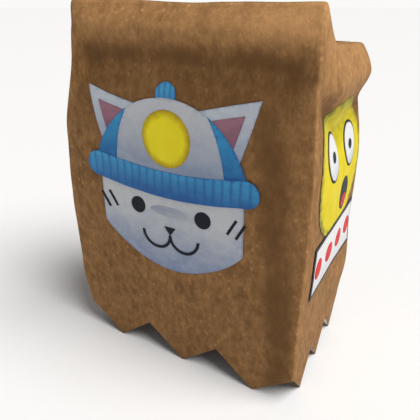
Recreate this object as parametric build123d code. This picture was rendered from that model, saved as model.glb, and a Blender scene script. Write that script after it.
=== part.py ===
"""Paper bag puppet: a block-bottom kraft bag stood on its cut mouth, with glued paper cut-outs.

Millimetres, +Z up. The origin is the centre of the bag's footprint, in the plane of the tooth tips.
The broad front panel faces -Y, and the closed end is on top.
"""
from build123d import *
import os

# The bag
bag_width = 180.0
bag_depth = 114.0
ridge_height = 254.0
ridge_setback = 9.0
ridge_inset = 9.0
front_fold_height = 212.0
step_height = 234.0
step_setback = 42.0
rear_height = 230.0
rear_setback = 2.0
waist_height = 190.0
paper = 0.5
crease_gap = 0.3
waist_gap = 1.0

# The pinked mouth
tooth_height = 24.0
front_teeth = 3
side_teeth = 3

# The glued seam and the folded end
seam_width = 18.0
seam_offset = 52.0
flap_reach = 66.0
flap_taper = 28.0
tuck_reach = 58.0
tuck_taper = 16.0

# Cut-outs on the front
card = 0.3
face_x = -5.0
head_width = 108.0
jaw_height = 110.0
chin_height = 84.0
brow_height = 153.0
hat_width = 114.0
hat_top = 203.0
hat_front_width = 82.0
hat_front_height = 60.0
cuff_width = 110.0
cuff_band = 18.0
cuff_rise = 5.0
bobble_radius = 7.0
patch_radius = 18.0
patch_height = 178.0
ear_reach = 64.0
ear_tip_height = 207.0
ear_base_low = 44.0
ear_base_high = 14.0
ear_border = 6.5
eye_radius = 5.9
eye_spacing = 51.0
eye_height = 129.0
nose_width = 9.0
nose_height = 116.0
smile_radius = 12.0
smile_line = 2.2
cheek_offset = 46.0
cheek_mark_length = 12.0
cheek_mark_width = 1.8
cheek_mark_spacing = 6.0
brow_patch_width = 30.0
brow_patch_height = 7.0

# Cut-outs on the right side
side_card = 0.25
side_face_y = 4.0
side_face_z = 157.0
side_face_width = 100.0
side_face_height = 90.0
side_eye_places = [(-16.0, 21.0), (26.0, 22.0)]
side_eye_width = 25.0
side_eye_height = 31.0
side_eye_rim = 1.6
pupil_radius = 3.4
side_mouth_place = (15.0, 136.0)
side_mouth_width = 21.0
side_mouth_height = 24.0
tongue_width = 14.0
tongue_height = 9.0
tongue_drop = 5.5
banner_y = 4.0
banner_width = 94.0
banner_bottom = 81.0
banner_height = 38.0
banner_border = 3.0
dot_count = 4
dot_spacing = 24.0
dot_radius = 7.0
dot_start = -32.0

half_width = bag_width / 2
half_depth = bag_depth / 2
front_y = -half_depth
rear_y = half_depth
ridge_y = front_y + ridge_setback
step_y = front_y + step_setback
rear_top_y = rear_y - rear_setback
end_bottom = waist_height + waist_gap

front_face = Plane.XZ.offset(half_depth)
side_face = Plane.YZ.offset(half_width)


def sheet(points, direction, thickness):
    """A flat facet through the points, thickened along the direction."""
    facet = Face(Wire.make_polygon([Vector(*point) for point in points]))
    return extrude(facet, amount=thickness, dir=direction)


def pinked_edge(start, end, count):
    """Points along a zigzag cut, from notch to notch, with the tips at height 0."""
    pitch = (end - start) / count
    points = [(start, tooth_height)]
    for index in range(count):
        points.append((start + pitch * (index + 0.5), 0))
        points.append((start + pitch * (index + 1), tooth_height))
    return points


def meet(first, second):
    """The point where two lines cross; each is a pair of (y, z) points."""
    (ay, az), (by, bz) = first
    (cy, cz), (dy, dz) = second
    first_run, first_rise = by - ay, bz - az
    second_run, second_rise = dy - cy, dz - cz
    share = ((cy - ay) * second_rise - (cz - az) * second_run) / (
        first_run * second_rise - first_rise * second_run
    )
    return ay + first_run * share, az + first_rise * share


def side_slope():
    """How fast the end's side leans in with height and with depth, so that it meets three corners."""
    ridge_rise = ridge_height - front_fold_height
    rear_rise = rear_height - front_fold_height
    rear_run = rear_top_y - front_y
    scale = ridge_rise * rear_run - rear_rise * ridge_setback
    by_height = ridge_inset * (rear_run - ridge_setback) / scale
    by_depth = ridge_inset * (ridge_rise - rear_rise) / scale
    return by_height, by_depth


def side_x(y, z):
    """Half the bag's width at a point of the end's leaning side."""
    by_height, by_depth = side_slope()
    return half_width - by_height * (z - front_fold_height) - by_depth * (y - front_y)


def side_fold_y(z):
    """Where the leaning side leaves the upright one, at one height."""
    by_height, by_depth = side_slope()
    return front_y - by_height * (z - front_fold_height) / by_depth


def front_panel():
    """The broad front: an upright sheet that folds back a little below the ridge."""
    edge = pinked_edge(-half_width, half_width, front_teeth)
    upright = [(x, front_y, z) for x, z in edge]
    upright += [(half_width, front_y, front_fold_height), (-half_width, front_y, front_fold_height)]
    ridge_half = half_width - ridge_inset
    leaning = [
        (-half_width, front_y, front_fold_height),
        (half_width, front_y, front_fold_height),
        (ridge_half, ridge_y, ridge_height),
        (-ridge_half, ridge_y, ridge_height),
    ]
    return sheet(upright, (0, 1, 0), paper) + sheet(leaning, (0, 1, 0), paper)


def back_panel():
    edge = pinked_edge(-half_width, half_width, front_teeth)
    outline = [(x, rear_y, z) for x, z in edge]
    outline += [(half_width, rear_y, waist_height), (-half_width, rear_y, waist_height)]
    return sheet(outline, (0, -1, 0), paper)


def back_seam():
    """The lengthwise lap inside the back, where the bag's tube is glued."""
    left = seam_offset - seam_width / 2
    inner = rear_y - paper
    outline = [
        (left, inner, tooth_height),
        (left + seam_width, inner, tooth_height),
        (left + seam_width, inner, waist_height),
        (left, inner, waist_height),
    ]
    return sheet(outline, (0, -1, 0), card)


def gusset_half(side, rear):
    """Half of a side gusset, from a corner crease to the middle crease."""
    pitch = bag_depth / side_teeth
    edge = pinked_edge(front_y, rear_y, side_teeth)
    outline = [(side * half_width, y, z) for y, z in edge]
    outline += [
        (side * half_width, rear_y, waist_height),
        (side * half_width, front_y, waist_height),
    ]
    whole = sheet(outline, (-side, 0, 0), paper)
    inner = half_depth - paper - crease_gap
    run = inner - crease_gap / 2
    middle = (inner + crease_gap / 2) / 2
    keep = Pos(side * half_width, middle if rear else -middle, waist_height / 2)
    return whole & (keep * Box(pitch, run, 2 * waist_height))


def end_lines():
    """Inner lines of the end, as seen from the side: front, slope, top, rear and bottom."""
    inner_front = front_y + paper + crease_gap
    inner_ridge = ridge_y + paper + crease_gap
    fold = (inner_front, front_fold_height)
    ridge = (inner_ridge, ridge_height)
    slope = ((ridge_y, ridge_height - paper), (step_y, step_height - paper))
    top = ((step_y, step_height - paper), (rear_top_y, rear_height - paper))
    rear = ((rear_y - paper, end_bottom), (rear_top_y - paper, rear_height - paper))
    bottom = ((front_y, end_bottom), (rear_y, end_bottom))
    return (fold, ridge), slope, top, rear, bottom


def end_side(side, thickness):
    """The end's side: an upright corner and a leaning sheet, thickened outward from the bag's face."""
    front, slope, top, rear, bottom = end_lines()
    outline = [
        (front[0][0], end_bottom),
        meet(rear, bottom),
        meet(rear, top),
        slope[1],
        meet(slope, front),
        front[0],
    ]
    band = Plane.YZ * make_face(Polyline(*outline, close=True))
    band = extrude(band, amount=side * bag_width)
    low_z, high_z = end_bottom - bag_depth, ridge_height + bag_depth
    fold = [(side_fold_y(z), z) for z in (high_z, low_z)]
    upright = [(half_width, y, z) for y, z in (*fold, (fold[0][0], low_z))]
    leaning = [(side_x(y, z), y, z) for y, z in (*fold, (fold[1][0], high_z))]
    facets = [[(side * x, y, z) for x, y, z in points] for points in (upright, leaning)]
    lower, upper = [sheet(points, (side, 0, 0), thickness) for points in facets]
    return (lower + upper) & band


def end_gusset(side):
    """The part of a gusset above the waist, carried by the closed end."""
    return Pos(-side * paper, 0, 0) * end_side(side, paper)


def end_top(half_front, half_step, half_rear, front, step, rear, thickness, lift):
    """A sheet that follows the end's slope and top between three cross lines."""
    sloped = [(-half_front, *front), (half_front, *front), (half_step, *step), (-half_step, *step)]
    flat = [(-half_step, *step), (half_step, *step), (half_rear, *rear), (-half_rear, *rear)]
    body = sheet(sloped, (0, 0, 1), thickness) + sheet(flat, (0, 0, 1), thickness)
    return Pos(0, 0, lift) * body


def end_panel():
    """The closed end's rectangle, hinged along the ridge."""
    start_y = ridge_y + paper + crease_gap
    fall = (ridge_height - step_height) / (step_y - ridge_y)
    start = (start_y, ridge_height - fall * (start_y - ridge_y))
    step = (step_y, step_height)
    rear = (rear_top_y, rear_height)
    return end_top(side_x(*start), side_x(*step), side_x(*rear), start, step, rear, paper, -paper)


def top_z(y):
    """Height of the end's outer face on its flatter stretch."""
    fall = (step_height - rear_height) / (rear_top_y - step_y)
    return step_height - fall * (y - step_y)


def end_flap():
    """The outer glued flap of the closed end, from the rear edge forward."""
    front = rear_top_y - flap_reach
    half_rear = side_x(rear_top_y, rear_height)
    outline = [
        (-half_rear, rear_top_y, rear_height),
        (half_rear, rear_top_y, rear_height),
        (half_rear - flap_taper, front, top_z(front)),
        (flap_taper - half_rear, front, top_z(front)),
    ]
    return sheet(outline, (0, 0, 1), paper)


def end_tuck(side):
    """A gusset's end, folded in under the closed end."""
    outer = side_x(rear_top_y, rear_height) - paper - crease_gap
    rear = rear_top_y - paper - crease_gap
    front = step_y
    under = -paper
    outline = [
        (side * outer, rear, top_z(rear) + under),
        (side * outer, front, top_z(front) + under),
        (side * (outer - tuck_reach), front + tuck_taper, top_z(front + tuck_taper) + under),
        (side * (outer - tuck_reach), rear - tuck_taper, top_z(rear - tuck_taper) + under),
    ]
    return sheet(outline, (0, 0, -1), paper)


def end_rear_band():
    """The rear panel above the waist, carried by the closed end."""
    low = side_x(rear_y, end_bottom)
    high = side_x(rear_top_y, rear_height)
    outline = [
        (-low, rear_y, end_bottom),
        (low, rear_y, end_bottom),
        (high, rear_top_y, rear_height - paper),
        (-high, rear_top_y, rear_height - paper),
    ]
    return sheet(outline, (0, -1, 0), paper)


def cut_out(outline, layer, plane=front_face, thickness=card):
    """A paper shape glued flat on a face of the bag, on top of a number of layers."""
    return extrude(plane.offset(layer * thickness) * outline, amount=thickness)


def closed(*edges):
    """A flat shape inside a loop of edges."""
    return make_face(Wire(list(edges)))


def head_outline():
    half = head_width / 2
    left = face_x - half
    right = face_x + half
    jaw = ThreePointArc((right, jaw_height), (face_x, chin_height), (left, jaw_height))
    sides = [
        Line((left, jaw_height), (left, brow_height)),
        Line((left, brow_height), (right, brow_height)),
        Line((right, brow_height), (right, jaw_height)),
    ]
    return closed(*sides, jaw)


def hat_outline():
    half = hat_width / 2
    left = face_x - half
    right = face_x + half
    dome = ThreePointArc((right, brow_height), (face_x, hat_top), (left, brow_height))
    return closed(Line((left, brow_height), (right, brow_height)), dome)


def hat_front_outline():
    seam = Pos(face_x, brow_height) * Ellipse(hat_front_width / 2, hat_front_height)
    return hat_outline() & seam


def cuff_outline():
    half = cuff_width / 2
    left = face_x - half
    right = face_x + half
    low = brow_height - cuff_band / 2
    high = brow_height + cuff_band / 2
    bulge = cuff_band / 2
    return closed(
        ThreePointArc((left, low), (face_x, low - cuff_rise), (right, low)),
        ThreePointArc((right, low), (right + bulge, brow_height), (right, high)),
        ThreePointArc((right, high), (face_x, high - cuff_rise), (left, high)),
        ThreePointArc((left, high), (left - bulge, brow_height), (left, low)),
    )


def ear_points(side):
    tip = (face_x + side * ear_reach, ear_tip_height)
    low = (face_x + side * ear_base_low, brow_height)
    high = (face_x + side * ear_base_high, hat_top - bobble_radius)
    return [tip, low, high]


def ear_outline(side):
    outline = make_face(Polyline(*ear_points(side), close=True))
    return outline - head_outline()


def inner_ear_outline(side):
    outline = make_face(Polyline(*ear_points(side), close=True))
    inner = offset(outline, amount=-ear_border, kind=Kind.INTERSECTION)
    return inner - hat_outline()


def mirrored(side, x):
    return face_x + side * x


def smile_outline(side):
    """A quarter-round line under the nose, on one side."""
    centre = Pos(mirrored(side, smile_radius - smile_line / 2), nose_height - nose_width / 2)
    ring = Circle(smile_radius) - Circle(smile_radius - smile_line)
    lower = Pos(0, -smile_radius) * Rectangle(4 * smile_radius, 2 * smile_radius)
    shape = centre * (ring & lower)
    own_half = Pos(mirrored(side, 2 * smile_radius), nose_height) * Rectangle(
        4 * smile_radius, 8 * smile_radius
    )
    return shape & own_half


def nose_outline():
    half = nose_width / 2
    top = nose_height + half * 0.4
    return make_face(
        Polyline((face_x - half, top), (face_x + half, top), (face_x, nose_height - half), close=True)
    )


def cheek_mark(side, index):
    place = Pos(mirrored(side, cheek_offset + index * cheek_mark_spacing), eye_height - 2 * index)
    return place * Rot(0, 0, side * 60) * Rectangle(cheek_mark_length, cheek_mark_width)


def front_cut_outs():
    """Every cut-out of the front face, by name."""
    head = head_outline()
    hat = hat_outline()
    hat_front = hat_front_outline()
    hat_sides = (hat - hat_front).faces().sort_by(Axis.X)
    bobble = Pos(face_x, hat_top + bobble_radius / 4) * Circle(bobble_radius)
    pieces = {
        "head": cut_out(head, 0),
        "hat_front": cut_out(hat_front, 1),
        "left_hat_side": cut_out(hat_sides[0], 1),
        "right_hat_side": cut_out(hat_sides[-1], 1),
        "hat_bobble": cut_out(bobble - hat, 1),
        "hat_cuff": cut_out(cuff_outline(), 2),
        "hat_patch": cut_out(Pos(face_x, patch_height) * Circle(patch_radius), 2),
        "nose": cut_out(nose_outline(), 1),
        "brow_patch": cut_out(
            Pos(face_x, eye_height) * Ellipse(brow_patch_width / 2, brow_patch_height / 2), 1
        ),
    }
    for name, side in (("left", -1), ("right", 1)):
        eye = Pos(mirrored(side, eye_spacing / 2), eye_height) * Circle(eye_radius)
        pieces[name + "_eye"] = cut_out(eye, 1)
        pieces[name + "_ear"] = cut_out(ear_outline(side), 0)
        pieces[name + "_inner_ear"] = cut_out(inner_ear_outline(side), 1)
        pieces[name + "_smile"] = cut_out(smile_outline(side) - nose_outline(), 1)
        pieces[name + "_inner_cheek_mark"] = cut_out(cheek_mark(side, 0), 1)
        pieces[name + "_outer_cheek_mark"] = cut_out(cheek_mark(side, 1), 1)
    return pieces


def side_cut_out(outline, layer):
    return cut_out(outline, layer, side_face, side_card)


def rear_of_crease(outline):
    """The part of a side outline behind the middle crease and below the waist."""
    size = 2 * bag_depth
    keep = Pos(size / 2 + crease_gap / 2, waist_height - size / 2) * Rectangle(size, size)
    return outline & keep


def front_of_crease(outline):
    size = 2 * bag_depth
    keep = Pos(-size / 2 - crease_gap / 2, waist_height - size / 2) * Rectangle(size, size)
    return outline & keep


def side_face_outline():
    return Pos(side_face_y, side_face_z) * Ellipse(side_face_width / 2, side_face_height / 2)


def side_face_top():
    """The face's top, which bends over the folded end."""
    column = extrude(Plane.YZ * side_face_outline(), amount=bag_width)
    return end_side(1, side_card) & column


def banner_outline(inset):
    centre = Pos(banner_y, banner_bottom + banner_height / 2)
    return centre * Rectangle(banner_width - 2 * inset, banner_height - 2 * inset)


def side_cut_outs():
    """Every cut-out of the right side, by name."""
    face = side_face_outline()
    backing = banner_outline(0)
    card_face = banner_outline(banner_border)
    mouth = Pos(*side_mouth_place) * Ellipse(side_mouth_width / 2, side_mouth_height / 2)
    tongue_y, tongue_z = side_mouth_place
    tongue = Pos(tongue_y, tongue_z - tongue_drop) * Ellipse(tongue_width / 2, tongue_height / 2)
    pieces = {
        "side_face_front": side_cut_out(front_of_crease(face), 0),
        "side_face_rear": side_cut_out(rear_of_crease(face), 0),
        "side_face_top": side_face_top(),
        "side_mouth": side_cut_out(mouth, 1),
        "side_tongue": side_cut_out(tongue, 2),
        "banner_backing_front": side_cut_out(front_of_crease(backing), 1),
        "banner_backing_rear": side_cut_out(rear_of_crease(backing), 1),
        "banner_card_front": side_cut_out(front_of_crease(card_face), 2),
        "banner_card_rear": side_cut_out(rear_of_crease(card_face), 2),
    }
    for name, (eye_y, drop) in zip(("front", "rear"), side_eye_places):
        place = (eye_y, waist_height - drop)
        rim = Ellipse(side_eye_width / 2, side_eye_height / 2)
        white = Ellipse(side_eye_width / 2 - side_eye_rim, side_eye_height / 2 - side_eye_rim)
        pieces["side_eye_rim_" + name] = side_cut_out(Pos(*place) * rim, 1)
        pieces["side_eye_white_" + name] = side_cut_out(Pos(*place) * white, 2)
        pieces["side_pupil_" + name] = side_cut_out(Pos(*place) * Circle(pupil_radius), 3)
    for index in range(dot_count):
        place = Pos(dot_start + dot_spacing * index, banner_bottom + banner_height / 2)
        pieces[f"banner_dot_{index + 1}"] = side_cut_out(place * Circle(dot_radius), 3)
    return pieces


def bag_pieces():
    pieces = {
        "front_panel": front_panel(),
        "back_panel": back_panel(),
        "back_seam": back_seam(),
        "end_panel": end_panel(),
        "end_flap": end_flap(),
        "end_rear_band": end_rear_band(),
    }
    for name, side in (("left", -1), ("right", 1)):
        pieces[name + "_gusset_front"] = gusset_half(side, False)
        pieces[name + "_gusset_rear"] = gusset_half(side, True)
        pieces[name + "_end_gusset"] = end_gusset(side)
        pieces[name + "_end_tuck"] = end_tuck(side)
    return pieces


os.makedirs("parts", exist_ok=True)
for node, solid in {**bag_pieces(), **front_cut_outs(), **side_cut_outs()}.items():
    export_step(solid, f"parts/{node}.step")
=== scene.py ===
# %% [markdown]
# # A paper bag puppet
# The puppet is a brown kraft bag, turned over so that its cut mouth is at the bottom and its folded
# end is on top. A hand goes in from below. Two paper faces are glued on, one on the broad front and
# one on the right side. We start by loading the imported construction: every measure below is read
# from it, so the looks always sit on the real sizes.

import math

import bmesh
import bpy
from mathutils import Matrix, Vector, noise


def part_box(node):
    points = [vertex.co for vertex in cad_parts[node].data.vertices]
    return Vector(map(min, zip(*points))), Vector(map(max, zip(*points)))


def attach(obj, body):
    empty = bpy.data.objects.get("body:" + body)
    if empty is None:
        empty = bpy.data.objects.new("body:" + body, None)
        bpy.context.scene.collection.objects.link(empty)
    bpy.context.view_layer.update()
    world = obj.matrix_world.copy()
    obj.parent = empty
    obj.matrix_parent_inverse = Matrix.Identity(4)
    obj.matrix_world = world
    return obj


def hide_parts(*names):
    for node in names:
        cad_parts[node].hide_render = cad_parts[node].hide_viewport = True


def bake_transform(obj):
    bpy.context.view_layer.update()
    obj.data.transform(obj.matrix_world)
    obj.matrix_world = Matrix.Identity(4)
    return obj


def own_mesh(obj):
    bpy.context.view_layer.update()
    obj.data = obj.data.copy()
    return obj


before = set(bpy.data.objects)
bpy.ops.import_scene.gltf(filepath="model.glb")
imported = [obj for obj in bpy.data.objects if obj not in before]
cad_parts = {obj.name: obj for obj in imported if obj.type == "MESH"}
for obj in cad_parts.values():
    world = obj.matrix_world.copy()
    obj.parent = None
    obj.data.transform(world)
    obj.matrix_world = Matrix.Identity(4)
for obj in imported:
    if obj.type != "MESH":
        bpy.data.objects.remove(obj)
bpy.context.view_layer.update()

# %% Measures read from the frame
HALF_WAIST_GAP = 0.0005
front_low, front_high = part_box("front_panel")
rear_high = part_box("back_panel")[1]
tuck_low, tuck_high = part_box("left_end_tuck")
HALF_WIDTH = front_high.x
FRONT = front_low.y
REAR = rear_high.y
WAIST = rear_high.z + HALF_WAIST_GAP
RIDGE = front_high.z
STEP_Y = tuck_low.y
STEP_Z = tuck_high.z
TOP_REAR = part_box("end_rear_band")[1].z
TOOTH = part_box("back_seam")[0].z
FRONT_TEETH = 3
SIDE_TEETH = 3
PAPER = 0.00035
print(f"bag {2 * HALF_WIDTH * 1000:.0f} mm wide, {(REAR - FRONT) * 1000:.0f} mm deep")

# %% [markdown]
# ## The soft shape
# A flat-sided box looks like a carton. Real kraft paper bellies out a little, pinches at the waist
# where the gussets fold in, and puffs up in a band along the ridge. Rather than sculpt each panel by
# hand, we write one function that takes any point of the plain box to its place on the soft bag.
# Every panel, and every cut-out glued to it, goes through the same function, so neighbours always
# meet, however much the bag is bent.

# %% Ramps and bumps
def ramp(value, start, end):
    """0 before start, 1 after end, and smooth between."""
    share = min(max((value - start) / (end - start), 0.0), 1.0)
    return share * share * (3 - 2 * share)


def bump(value, centre, reach):
    """1 at the centre, falling smoothly to 0 one reach away."""
    return 1 - ramp(abs(value - centre), 0.0, reach)


def top_height(y):
    """Height of the closed end along the bag's depth: a slope behind the ridge, then nearly flat."""
    if y < STEP_Y:
        return RIDGE + (STEP_Z - RIDGE) * (y - FRONT) / (STEP_Y - FRONT)
    return STEP_Z + (TOP_REAR - STEP_Z) * (y - STEP_Y) / (REAR - STEP_Y)


# %% The waist pinch on the sides
PINCH_FOOT = 0.148
PINCH_LOW = 0.180
PINCH_FRONT_RISE = 0.032
PINCH_REAR_RISE = 0.014
PINCH_AT_FRONT = 0.0045
PINCH_DEEPER = 0.0045
PINCH_REAR_EASE = 0.0030
LIP_RISE = 0.032
LIP_LEAST_RISE = 0.006
RIDGE_SHOULDER = 0.0070
SHOULDER = 0.0086
SIDE_SWELL = 0.0030
SIDE_SWELL_HEIGHT = 0.062
SIDE_SWELL_REACH = 0.045


def pinch_line(y):
    """Height of the deepest crease, a V with its point in the middle of the gusset."""
    if y < 0:
        return PINCH_LOW + PINCH_FRONT_RISE * y / FRONT
    return PINCH_LOW + PINCH_REAR_RISE * y / REAR


def away_from_front(y):
    """0 on the front corner and 1 from halfway to the middle crease."""
    return ramp(y, FRONT, FRONT * 0.45)


def side_inset(y, z):
    """How far the side stands in from the plain box."""
    release = away_from_front(y)
    depth = PINCH_AT_FRONT + PINCH_DEEPER * release - PINCH_REAR_EASE * ramp(y, 0, REAR)
    crease = pinch_line(y)
    lip = max(PINCH_LOW + LIP_RISE, crease + LIP_LEAST_RISE)
    below = min(max((z - PINCH_FOOT) / (crease - PINCH_FOOT), 0.0), 1.0) ** 1.5
    above = 1 - release * ramp(z, crease, lip)
    crown = max(0.0, (z - lip) / (top_height(y) - lip))
    shoulder = RIDGE_SHOULDER + (SHOULDER - RIDGE_SHOULDER) * ramp(y, FRONT, STEP_Y)
    crown_inset = (shoulder - depth * (1 - release)) * min(crown, 1.2) ** 1.5
    swell = SIDE_SWELL * bump(z, SIDE_SWELL_HEIGHT, SIDE_SWELL_REACH) * ramp(y, 0, REAR)
    return depth * (below if z < crease else above) + crown_inset - swell


LEFT_SWELL = 0.0066
LEFT_LEAN = 0.0130
LEFT_FLARE = 0.0040


def left_corner_inset(z):
    """The front's left corner: swollen below the waist, leaning in above it, and flared at the ridge."""
    swell = LEFT_SWELL * ramp(z, 0.012, 0.058) * (1 - ramp(z, 0.115, 0.200))
    return LEFT_LEAN * ramp(z, 0.175, 0.234) - LEFT_FLARE * ramp(z, 0.240, RIDGE) - swell


# %% The front's band
BAND_FOOT = 0.229
BAND_HOLLOW = 0.0052
BAND_PUFF = 0.0028
FRONT_BELLY = 0.0012
LEAN = 0.009
LEAN_FOOT = 0.226


def front_inset(x, z):
    """How far the front stands back from the plain box: a puffed band above a shallow hollow."""
    edge = 1 - ramp(abs(x), HALF_WIDTH * 0.80, HALF_WIDTH * 0.99)
    hollow = BAND_HOLLOW * bump(z, BAND_FOOT - 0.006, 0.020) * edge
    belly = -FRONT_BELLY * ramp(z, 0.03, 0.09) * (1 - ramp(z, 0.17, 0.22)) * edge
    puff = -BAND_PUFF * bump(z, BAND_FOOT + 0.011, 0.012) * edge
    lean = LEAN * max(0.0, (z - LEAN_FOOT) / (RIDGE - LEAN_FOOT)) ** 2.2
    return hollow + belly + puff + lean


# %% [markdown]
# Blender's noise vectors start from the clock unless they are given a seed, and then every run would
# crumple the paper another way. So we set one before the first use.

# %% Rounded corners, and the whole soft shape
CORNER_RADIUS = 0.0015
REAR_TOP_RADIUS = 0.002
LEFT_SIDE_BELLY = 0.0020
BACK_FOLD = 0.0045
BACK_BELLY = 0.0030
RIDGE_LIFT = 0.0018
SLOW_CRUMPLE = 0.0009
QUICK_CRUMPLE = 0.00022
CRUMPLE_SEED = 1


def round_corner(u, v):
    """Takes a square corner, both values from 0 to 1, to a quarter circle."""
    return u * math.sqrt(1 - v * v / 2), v * math.sqrt(1 - u * u / 2)


def rounded(first, second, limit_first, limit_second, radius):
    """Rounds the edge where two sizes both reach their limits."""
    u = max(0.0, (abs(first) - (limit_first - radius)) / radius)
    v = max(0.0, (abs(second) - (limit_second - radius)) / radius)
    if u == 0 or v == 0:
        return first, second
    u, v = round_corner(min(u, 1.0), min(v, 1.0))
    first = math.copysign(limit_first - radius + u * radius, first)
    second = math.copysign(limit_second - radius + v * radius, second)
    return first, second


noise.seed_set(CRUMPLE_SEED)


def crumple(point):
    """Small unevenness that all paper has, the same for everything glued together."""
    slow = noise.noise_vector(point * 22.0) * SLOW_CRUMPLE
    quick = noise.noise_vector(point * 70.0 + Vector((3, 1, 7))) * QUICK_CRUMPLE
    return slow + quick


def soften(point):
    """Takes a point of the plain box to its place on the soft bag."""
    x, y, z = point
    top = top_height(y)
    x, up = rounded(x, z - top + 1.0, HALF_WIDTH, 1.0, CORNER_RADIUS)
    z = up + top - 1.0
    half_depth = (REAR - FRONT) / 2
    if y > 0:
        y, up = rounded(y, z - top + 1.0, half_depth, 1.0, REAR_TOP_RADIUS)
        z = up + top - 1.0
    x, y = rounded(x, y, HALF_WIDTH, half_depth, CORNER_RADIUS)
    inset = side_inset(point[1], point[2])
    if x < 0:
        release = away_from_front(point[1])
        side_belly = LEFT_SIDE_BELLY * bump(z, 0.110, 0.090)
        inset = left_corner_inset(z) * (1 - release) + (inset - side_belly) * release
        x += inset * ramp(-x, 0.35 * HALF_WIDTH, HALF_WIDTH)
    else:
        x -= inset * x / HALF_WIDTH
    toward_front = 1 - ramp(y, FRONT, FRONT * 0.35)
    y += front_inset(point[0], point[2]) * toward_front
    toward_rear = ramp(y, REAR * 0.3, REAR)
    back_fold = BACK_FOLD * bump(point[2], WAIST + 0.002, 0.022)
    back_belly = BACK_BELLY * bump(point[2], 0.10, 0.09) * (1 - (point[0] / HALF_WIDTH) ** 2)
    y += (back_belly - back_fold) * toward_rear
    z += RIDGE_LIFT * ramp(-point[0], -0.02, HALF_WIDTH) * ramp(point[2], BAND_FOOT, RIDGE)
    settled = ramp(point[2], 0.0, TOOTH)
    return Vector((x, y, z)) + crumple(Vector(point)) * settled


def lifted(point, first, second, height):
    """A place a little above the soft bag, straight off its surface."""
    point, step = Vector(point), 0.0008
    along = soften(point + step * Vector(first)) - soften(point - step * Vector(first))
    across = soften(point + step * Vector(second)) - soften(point - step * Vector(second))
    return soften(point) + height * along.cross(across).normalized()


print("ridge corner goes to", [round(v, 4) for v in soften((HALF_WIDTH, FRONT, RIDGE))])

# %% [markdown]
# Real paper isn't one even brown. Folds that hands rub turn paler. Light and shade are painted in as
# well: the ridge's band and the rolls are painted paler where light falls on them, and the front, the
# hollows and the pinch are painted darker where shade falls. Both follow the bag's shape, so two more
# functions give an amount from 0 to 1 for any place on the plain box. The sheets store them at their
# points, for the material to read.

# %% Where the paper is worn and painted pale, and where shade is painted on
FOLD_WIDTH = 0.0026
FOLD_WORN = 0.55
ROLL_PAINTED_LIGHT = 0.62
PINCH_PAINTED_SHADE = 0.9


def wear_and_light_amount(point):
    """Paler where hands rub the folds, and painted light on the ridge's band and the rolls."""
    x, y, z = point
    corner = HALF_WIDTH - abs(x) + (y - FRONT if y < 0 else REAR - y)
    fold = FOLD_WORN * bump(corner, 0.0, FOLD_WIDTH)
    toward_front = bump(y, FRONT, 0.012)
    # Painted light on the band, brighter towards the lit right, with painted shade at its top-left end.
    band = ramp(z, BAND_FOOT + 0.002, BAND_FOOT + 0.011) * (0.62 + 0.38 * ramp(x, 0.02, HALF_WIDTH * 0.9))
    band *= 0.2 + 0.8 * ramp(x, -HALF_WIDTH, 0.018 - HALF_WIDTH)
    # Painted light on the rolls above the pinch.
    roll = ramp(z, pinch_line(y) + 0.004, pinch_line(y) + 0.030) * (1 - toward_front)
    return max(fold, band * toward_front, ROLL_PAINTED_LIGHT * roll)


def painted_shade_amount(point):
    """Painted shade: under the band, in the pinch, beside the right fold and over the whole front."""
    x, y, z = point
    if y < FRONT + 0.001:
        edge = 1 - ramp(abs(x), HALF_WIDTH * 0.84, HALF_WIDTH * 0.99)
        # Painted shade below the band and beside the right fold, where the front falls into shade.
        under_band = bump(z, BAND_FOOT - 0.003, 0.011) * edge
        below = 0.62 * bump(z, 0.200, 0.055) * edge
        away = 0.011 + 0.016 * ramp(z, 0.02, 0.20)
        beside_fold = bump(x, HALF_WIDTH - away, 0.020) * (1 - ramp(z, 0.19, BAND_FOOT))
        beside_fold *= ramp(HALF_WIDTH - x, 0.001, 0.006)
        # Painted shade over the whole front, which faces away from the light.
        rest = 0.22 * (1 - ramp(z, BAND_FOOT - 0.004, BAND_FOOT + 0.006)) * edge
        return max(under_band, below, beside_fold, rest)
    # Painted shade in the pinch of the sides.
    return PINCH_PAINTED_SHADE * bump(z, pinch_line(y), 0.016) * away_from_front(y)


def card_painted_shade(point):
    """Painted shade on a card of the side: in the pinch, and more under the roll."""
    return max(painted_shade_amount(point), ramp(point[2], PINCH_LOW + 0.002, PINCH_LOW + 0.018))

# %% [markdown]
# ## Helpers for sheets of paper
# Each sheet starts as a flat grid from an operator, is trimmed while it is still flat, and is bent
# last. A Solidify modifier then gives it the thickness of paper, inward from the printed face.

# %% Grid, trim, bend and finish
def flat_grid(corner, across, up, cells_across, cells_up):
    """A flat grid from a corner, with its two edges as vectors."""
    bm = bmesh.new()
    bmesh.ops.create_grid(bm, x_segments=cells_across, y_segments=cells_up, size=1)
    for vertex in bm.verts:
        u, v = (vertex.co.x + 1) / 2, (vertex.co.y + 1) / 2
        vertex.co = Vector(corner) + Vector(across) * u + Vector(up) * v
    return bm


def cut_plane(bm, point, normal, faces=None, clear_outer=False):
    """Cuts the mesh with a plane, and can drop what lies beyond it."""
    faces = list(bm.faces) if faces is None else faces
    geometry = dict.fromkeys(faces)
    for face in faces:
        geometry.update(dict.fromkeys(face.edges))
        geometry.update(dict.fromkeys(face.verts))
    bmesh.ops.bisect_plane(
        bm, geom=list(geometry), dist=1e-7, plane_co=point, plane_no=normal, clear_outer=clear_outer
    )


def zigzag_height(value, start, end, count):
    """Height of the pinked edge: TOOTH at each notch and 0 at each tip."""
    share = (value - start) / (end - start) * count
    return TOOTH * abs(2 * (share - math.floor(share)) - 1)


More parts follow.
